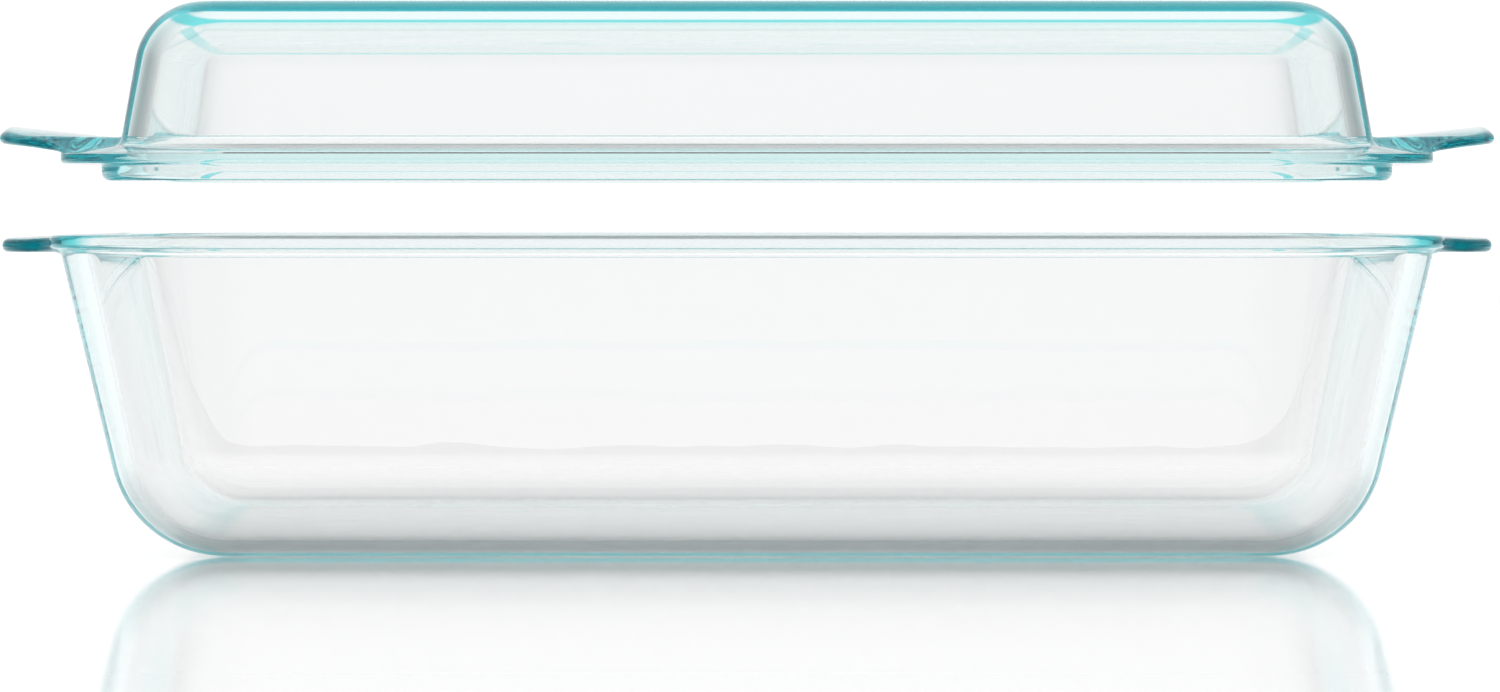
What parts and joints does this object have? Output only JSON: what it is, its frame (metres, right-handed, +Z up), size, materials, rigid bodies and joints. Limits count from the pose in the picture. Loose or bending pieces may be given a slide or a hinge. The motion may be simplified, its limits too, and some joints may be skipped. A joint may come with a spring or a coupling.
{
  "type": "covered casserole dish",
  "caption": "Deep rectangular glass baking dish with end handles and a domed glass lid that seats in its mouth and lifts straight off.",
  "frame": {"origin": "centre of the underside of the dish's base, on the surface that it stands on", "axes": "+Z up, the way the lid lifts off; +X along the dish, from handle to handle"},
  "size_m": [0.4, 0.24, 0.1455],
  "materials": {
    "dish_glass": "clear pressed glass with a faint blue-green tint, fire polished",
    "lid_glass": "clear pressed glass with a faint blue-green tint, fire polished"
  },
  "bodies": {
    "dish": {"dish": "dish_glass"},
    "lid": {"lid": "lid_glass"}
  },
  "joints": [
    {"name": "lid_lift", "type": "slide", "parent": "dish", "child": "lid", "axis": [0, 0, 1], "range_m": [-0.0181, 0.1]}
  ]
}
